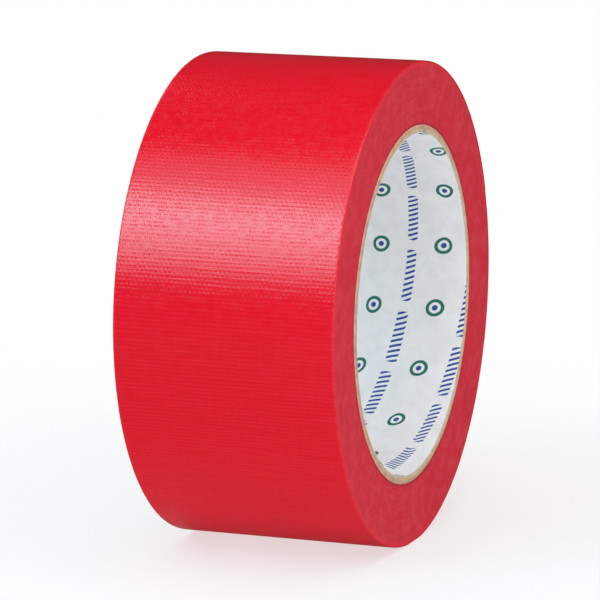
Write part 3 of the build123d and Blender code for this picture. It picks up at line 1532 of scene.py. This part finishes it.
@dataclass(frozen=True)
class Studio:
    """White floor, soft lamps and the camera. The long highlight on the tape comes from a
    column of slightly cool lamps, each given by its azimuth, elevation and radiance from the
    top down, and the top one is taller. The floor's ramps run with the distance in metres:
    how white it looks, how dim it is in gloss, and how much plain light it gives, which is
    more in front of the tread."""

    floor_size: float = 6.0
    floor_shade: Colour = (0.85, 0.85, 0.85, 1.0)
    seen_white: Ramp = Ramp(0.06, 0.24, 0.62, 1.0)
    gloss_dull: Ramp = Ramp(0.02, 0.09, 0.8, 0.97)
    glow: Ramp = Ramp(0.05, 0.16, 1.0, 0.38)
    glow_centre: tuple[float, float] = (-0.1, 0.03)
    gloss_white: float = 0.04
    world: float = 0.62
    azimuth: float = -69.95
    elevation: float = 9.84
    roll: float = 0.25
    distance: float = 0.88128
    lens: float = 236.0
    shift: tuple[float, float] = (-0.0162, -0.0040)
    highlight_box: SoftBox = SoftBox(
        "highlight", 0.0, 0.0, 0.75, 0.36, 0.075, 1.0, (0.52, 0.97, 1.12)
    )
    top_height: float = 0.11
    highlight: tuple[tuple[float, float, float], ...] = (
        (-124.0, 61.0, 1.0),
        (-121.5, 53.5, 1.3),
        (-119.5, 47.5, 3.2),
        (-117.5, 41.5, 5.8),
        (-116.0, 35.5, 4.6),
        (-114.5, 29.5, 3.7),
        (-113.5, 23.5, 2.8),
        (-112.5, 17.5, 1.2),
    )
    boxes: tuple[SoftBox, ...] = (
        SoftBox("key_box", -48.0, 24.0, 0.3, 0.35, 0.3, 0.78),
        SoftBox("top_box", -40.0, 72.0, 0.9, 0.8, 0.6, 1.3),
        SoftBox("right_box", 60.0, 25.0, 1.2, 0.8, 0.8, 0.2),
        SoftBox("back_box", 160.0, 35.0, 1.2, 0.9, 0.8, 0.9),
    )

    def build(self) -> None:
        """Set the colour transform, and build floor, world, lamps and camera."""
        bpy.context.scene.view_settings.view_transform = "Standard"
        self.build_floor()
        self.build_world()
        for number, (azimuth, elevation, radiance) in enumerate(self.highlight):
            place = {"azimuth": azimuth, "elevation": elevation, "radiance": radiance}
            lamp = replace(self.highlight_box, name=f"highlight_{number}", **place)
            if number == 0:
                lamp = replace(lamp, height=self.top_height)
            lamp.build()
        for lamp in self.boxes:
            lamp.build()
        self.build_camera()

    def build_floor(self) -> None:
        """Square floor under the roll. Towards the camera its shade is its lit colour mixed
        with plain white: partly near the roll, which keeps a soft shadow, and wholly far from
        it. In gloss it is dim, which keeps the film's red deep. The light it gives is mixed
        too, with more plain white near the glow's centre."""
        half = self.floor_size / 2
        corner = np.array([-half, half])
        east, north = np.meshgrid(corner, corner, indexing="ij")
        points = np.stack([east, north, np.full_like(east, CAD_BOX[0][2])], axis=-1)
        made, g, _ = start_material("studio_floor", Roughness=0.9, Base_Color=self.floor_shade)
        white = g.node("ShaderNodeEmission", {"Strength": g.by_ray(1.0, self.gloss_white, 1.0)})
        lit = made.node_tree.nodes["Principled BSDF"].outputs[0]
        x, y, _ = g.split(g.node("ShaderNodeTexCoord", {}).outputs["Object"])
        away = g.length(x, y)
        past = [g.minus(*pair) for pair in zip((x, y), self.glow_centre)]
        shares = g.remap(away, self.seen_white), g.remap(away, self.gloss_dull)
        share = g.by_ray(*shares, g.remap(g.length(*past), self.glow))
        layers = {0: share, 1: lit, 2: white.outputs[0]}
        mixed = g.node("ShaderNodeMixShader", layers).outputs[0]
        target = made.node_tree.nodes["Material Output"].inputs["Surface"]
        g.tree.links.new(mixed, target)
        floor = build_piece("studio_floor", [Patch(points, points[..., :2])], [made])

    def build_world(self) -> None:
        """Even light from all round. It shows as white to the camera and is dim in gloss."""
        world = bpy.data.worlds.new("studio_world")
        world.use_nodes = True
        bpy.context.scene.world = world
        g = Graph(world.node_tree)
        sky = world.node_tree.nodes["Background"].inputs
        g.tree.links.new(g.by_ray(1.0, self.gloss_white, self.world), sky["Strength"])
        sky["Color"].default_value = (1.0, 1.0, 1.0, 1.0)

    def build_camera(self) -> None:
        """Camera that looks at the axis, a little off level."""
        camera = bpy.data.cameras.new("camera")
        camera.lens = self.lens
        camera.shift_x, camera.shift_y = self.shift
        back = heading(self.azimuth, self.elevation)
        turn, tilt = math.radians(self.azimuth), math.radians(self.roll)
        right = np.array([math.cos(turn), math.sin(turn), 0.0])
        up = np.cross(back, right)
        level = np.stack([right, up])
        spin = np.array([[math.cos(tilt), math.sin(tilt)], [-math.sin(tilt), math.cos(tilt)]])
        placed = bpy.data.objects.new("camera", camera)
        axes = np.vstack([spin @ level, back]).T
        placed.matrix_world = Matrix.Translation(back * self.distance) @ Matrix(axes).to_4x4()
        bpy.context.scene.collection.objects.link(placed)
        bpy.context.scene.camera = placed


def main() -> None:
    logging.basicConfig(level=logging.INFO, format="%(name)s: %(message)s")
    winding = Winding()
    shop = Shop(winding.thickness)
    pieces = [
        *PaperCore(shop).build(),
        *TapeRoll(winding, shop).build(),
        *LooseThreads(winding, shop).build(),
    ]
    for piece in pieces:
        LOG.info("%s: %d faces", piece.name, len(piece.data.polygons))
    Studio().build()


if __name__ == "__main__":
    main()
